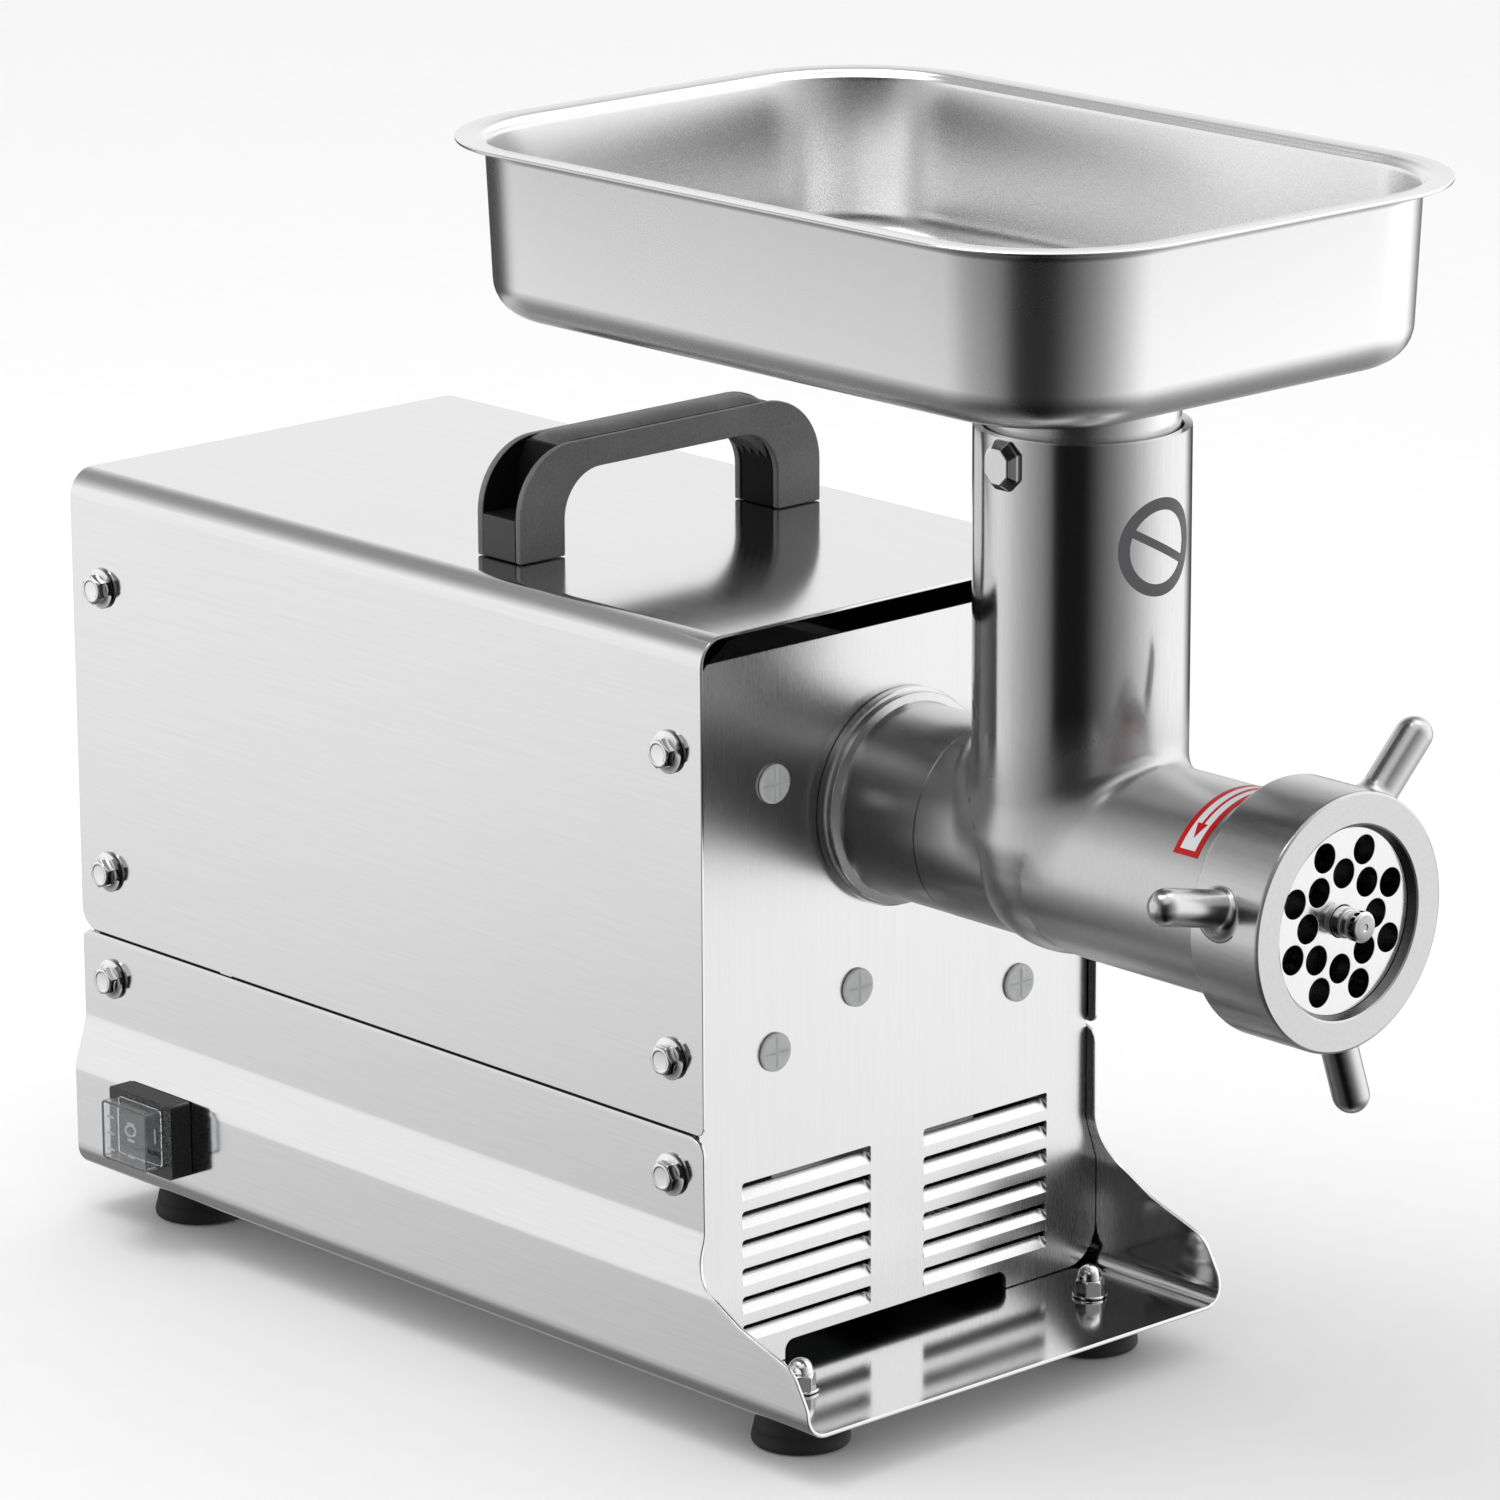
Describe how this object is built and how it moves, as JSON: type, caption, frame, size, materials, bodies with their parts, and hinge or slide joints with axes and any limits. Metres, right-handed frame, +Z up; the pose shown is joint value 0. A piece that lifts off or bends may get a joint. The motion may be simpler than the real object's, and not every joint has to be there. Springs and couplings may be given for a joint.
{
  "type": "electric meat grinder",
  "caption": "Counter-top electric meat grinder: folded steel body with motor and gears, push-in grinding head with feed screw and ring nut, lift-off feed tray, carrying handle and rocker switch",
  "frame": {"origin": "centre of the footprint, level with the underside of the feet", "axes": "+X is the machine's right seen from the grinding head, +Y runs from the grinding head back to the rear panel, +Z is up"},
  "size_m": [0.2314, 0.5746, 0.444],
  "materials": {
    "body_steel": "satin",
    "tray_steel": "satin",
    "cast_steel": "satin",
    "plate_steel": "satin",
    "bright_fasteners": "gloss",
    "gear_steel": "satin",
    "bearing_steel": "gloss",
    "cast_aluminium": "matte",
    "motor_paint": "satin",
    "black_plastic": "matte",
    "switch_plastic": "gloss",
    "clear_hood": "gloss",
    "plug_plastic": "satin",
    "foot_rubber": "matte",
    "fibre_washer": "matte"
  },
  "bodies": {
    "chassis": {"base_chassis": "body_steel", "upper_cover": "body_steel", "front_panel": "body_steel", "rear_panel": "body_steel", "flange_bolt_left_front_upper": "bright_fasteners", "flange_bolt_left_rear_upper": "bright_fasteners", "flange_bolt_left_front_middle": "bright_fasteners", "flange_bolt_left_rear_middle": "bright_fasteners", "flange_bolt_left_front_lower": "bright_fasteners", "flange_bolt_left_rear_lower": "bright_fasteners", "flange_bolt_right_front_upper": "bright_fasteners", "flange_bolt_right_rear_upper": "bright_fasteners", "flange_bolt_right_front_middle": "bright_fasteners", "flange_bolt_right_rear_middle": "bright_fasteners", "flange_bolt_right_front_lower": "bright_fasteners", "flange_bolt_right_rear_lower": "bright_fasteners", "acorn_nut_front_left": "bright_fasteners", "acorn_nut_front_right": "bright_fasteners", "acorn_nut_rear_left": "bright_fasteners", "acorn_nut_rear_right": "bright_fasteners", "foot_front_left": "foot_rubber", "foot_front_right": "foot_rubber", "foot_rear_left": "foot_rubber", "foot_rear_right": "foot_rubber", "panel_plug_upper_left": "plug_plastic", "panel_plug_upper_right": "plug_plastic", "panel_plug_lower_left": "plug_plastic", "panel_plug_lower_right": "plug_plastic", "panel_plug_centre": "plug_plastic", "cord_gland": "black_plastic", "carry_handle": "black_plastic", "switch_housing": "switch_plastic", "switch_hood": "clear_hood", "gearbox_housing": "cast_aluminium", "gearbox_cover": "cast_aluminium", "motor_saddle": "cast_aluminium", "run_capacitor": "cast_aluminium", "motor_shell": "motor_paint", "motor_end_bell": "motor_paint", "motor_bearing_front": "bearing_steel", "motor_bearing_rear": "bearing_steel", "output_bearing_front": "bearing_steel", "output_bearing_rear": "bearing_steel", "head_socket": "cast_steel"},
    "rotor": {"motor_rotor": "gear_steel", "cooling_fan": "black_plastic"},
    "layshaft": {"layshaft": "gear_steel", "layshaft_wheel": "gear_steel"},
    "output": {"output_shaft": "gear_steel", "output_wheel": "gear_steel"},
    "head": {"grinder_head": "cast_steel"},
    "auger": {"auger": "cast_steel", "auger_stud": "gear_steel", "knife": "gear_steel", "thrust_washer": "fibre_washer"},
    "plate": {"grinding_plate": "plate_steel"},
    "ring": {"ring_nut": "cast_steel"},
    "tray": {"feed_tray": "tray_steel"},
    "rocker": {"switch_rocker": "switch_plastic"},
    "knob": {"lock_knob": "black_plastic"}
  },
  "joints": [
    {"name": "rotor_spin", "type": "hinge", "parent": "chassis", "child": "rotor", "pos_m": [0.00325, 0.07025, 0.1016], "axis": [0, 1, 0], "continuous": true},
    {"name": "layshaft_spin", "type": "hinge", "parent": "chassis", "child": "layshaft", "pos_m": [0.00325, -0.02975, 0.1576], "axis": [0, 1, 0], "continuous": true},
    {"name": "output_spin", "type": "hinge", "parent": "chassis", "child": "output", "pos_m": [0.00325, -0.03975, 0.2136], "axis": [0, 1, 0], "continuous": true},
    {"name": "head_pull", "type": "slide", "parent": "chassis", "child": "head", "axis": [0, -1, 0], "range_m": [0, 0.06]},
    {"name": "auger_spin", "type": "hinge", "parent": "head", "child": "auger", "pos_m": [0.00325, -0.18975, 0.2136], "axis": [0, 1, 0], "continuous": true},
    {"name": "plate_slide", "type": "slide", "parent": "head", "child": "plate", "axis": [0, -1, 0], "range_m": [0, 0.015]},
    {"name": "ring_turn", "type": "hinge", "parent": "plate", "child": "ring", "pos_m": [0.00325, -0.26475, 0.2136], "axis": [0, -1, 0], "range_deg": [0, 1080]},
    {"name": "tray_lift", "type": "slide", "parent": "head", "child": "tray", "axis": [0, 0, 1], "range_m": [0, 0.06]},
    {"name": "rocker_tilt", "type": "hinge", "parent": "chassis", "child": "rocker", "pos_m": [-0.10175, 0.22675, 0.044], "axis": [0, 0, 1], "range_deg": [-20, 0]},
    {"name": "knob_turn", "type": "hinge", "parent": "chassis", "child": "knob", "pos_m": [0.04325, -0.08975, 0.2136], "axis": [1, 0, 0], "range_deg": [0, 720]}
  ],
  "couplings": [
    {"joint": "layshaft_spin", "follows": "rotor_spin", "ratio": -0.33333},
    {"joint": "output_spin", "follows": "rotor_spin", "ratio": 0.11111},
    {"joint": "auger_spin", "follows": "rotor_spin", "ratio": 0.11111},
    {"joint": "plate_slide", "follows": "ring_turn", "m_per_rad": 0.00079577}
  ]
}
